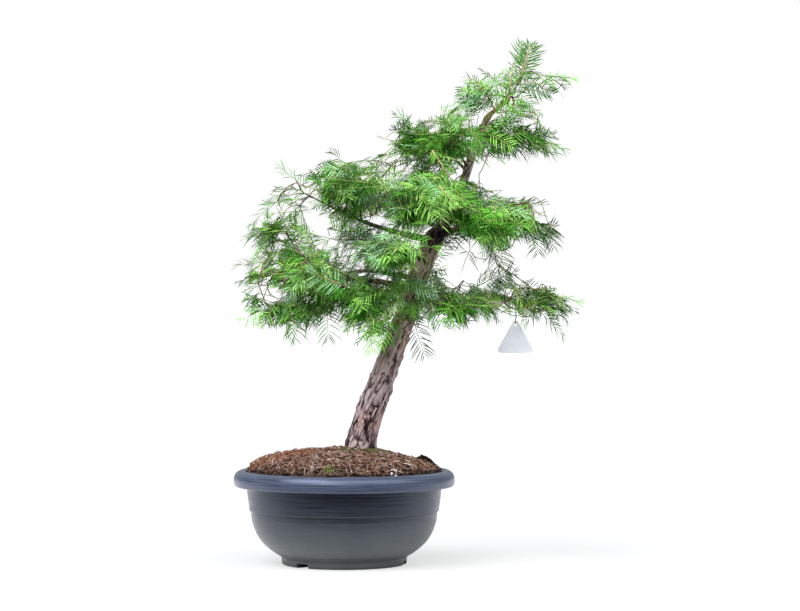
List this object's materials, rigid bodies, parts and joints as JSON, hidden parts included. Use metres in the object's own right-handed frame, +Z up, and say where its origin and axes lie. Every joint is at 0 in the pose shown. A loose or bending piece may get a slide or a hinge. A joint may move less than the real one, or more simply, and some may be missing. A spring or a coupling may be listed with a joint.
{
  "type": "bald cypress bonsai in a pot",
  "caption": "Leaning bald cypress bonsai with tapering boughs and feathery foliage masses, standing in a round moulded bowl with a drained foot.",
  "frame": {"origin": "centre of the pot's flat underside, on the surface that it stands on", "axes": "+Z up, +X the way the tree leans, -Y the front of the tree"},
  "size_m": [0.4708, 0.3102, 0.7129],
  "materials": {
    "moulded_plastic": "satin blue grey with fine turned lines",
    "soil_mulch": "matt fibrous bark mulch",
    "bark": "rough fissured bark",
    "needles": "soft fresh green needles",
    "clear_plastic": "frosted",
    "wire": "dark"
  },
  "bodies": {
    "root": {"bough_centre_back": "bark", "bough_centre_front": "bark", "bough_centre_low": "bark", "bough_centre_low_back": "bark", "bough_far_right_low": "bark", "bough_front_middle": "bark", "bough_left_high": "bark", "bough_left_high_back": "bark", "bough_left_low": "bark", "bough_left_low_back": "bark", "bough_left_middle": "bark", "bough_left_riser": "bark", "bough_left_upper": "bark", "bough_right_hanging": "bark", "bough_right_low": "bark", "bough_right_low_back": "bark", "bough_right_middle": "bark", "bough_right_middle_back": "bark", "bough_top_left": "bark", "bough_upper_back": "bark", "bough_upper_front": "bark", "foliage_centre_back": "needles", "foliage_centre_front": "needles", "foliage_centre_low": "needles", "foliage_centre_low_back": "needles", "foliage_far_left_high": "needles", "foliage_far_left_low": "needles", "foliage_far_left_middle": "needles", "foliage_far_right_low": "needles", "foliage_far_right_middle": "needles", "foliage_far_right_upper": "needles", "foliage_front_middle": "needles", "foliage_left_hanging": "needles", "foliage_left_high": "needles", "foliage_left_high_back": "needles", "foliage_left_low": "needles", "foliage_left_low_back": "needles", "foliage_left_upper": "needles", "foliage_right_front": "needles", "foliage_right_hanging": "needles", "foliage_right_low": "needles", "foliage_right_low_back": "needles", "foliage_right_middle": "needles", "foliage_right_middle_back": "needles", "foliage_top": "needles", "foliage_top_left": "needles", "foliage_top_right": "needles", "foliage_upper_back": "needles", "foliage_upper_front": "needles", "foliage_upper_right": "needles", "hang_tag": "clear_plastic", "pot": "moulded_plastic", "soil": "soil_mulch", "tag_loop": "wire", "trunk": "bark"}
  },
  "joints": []
}
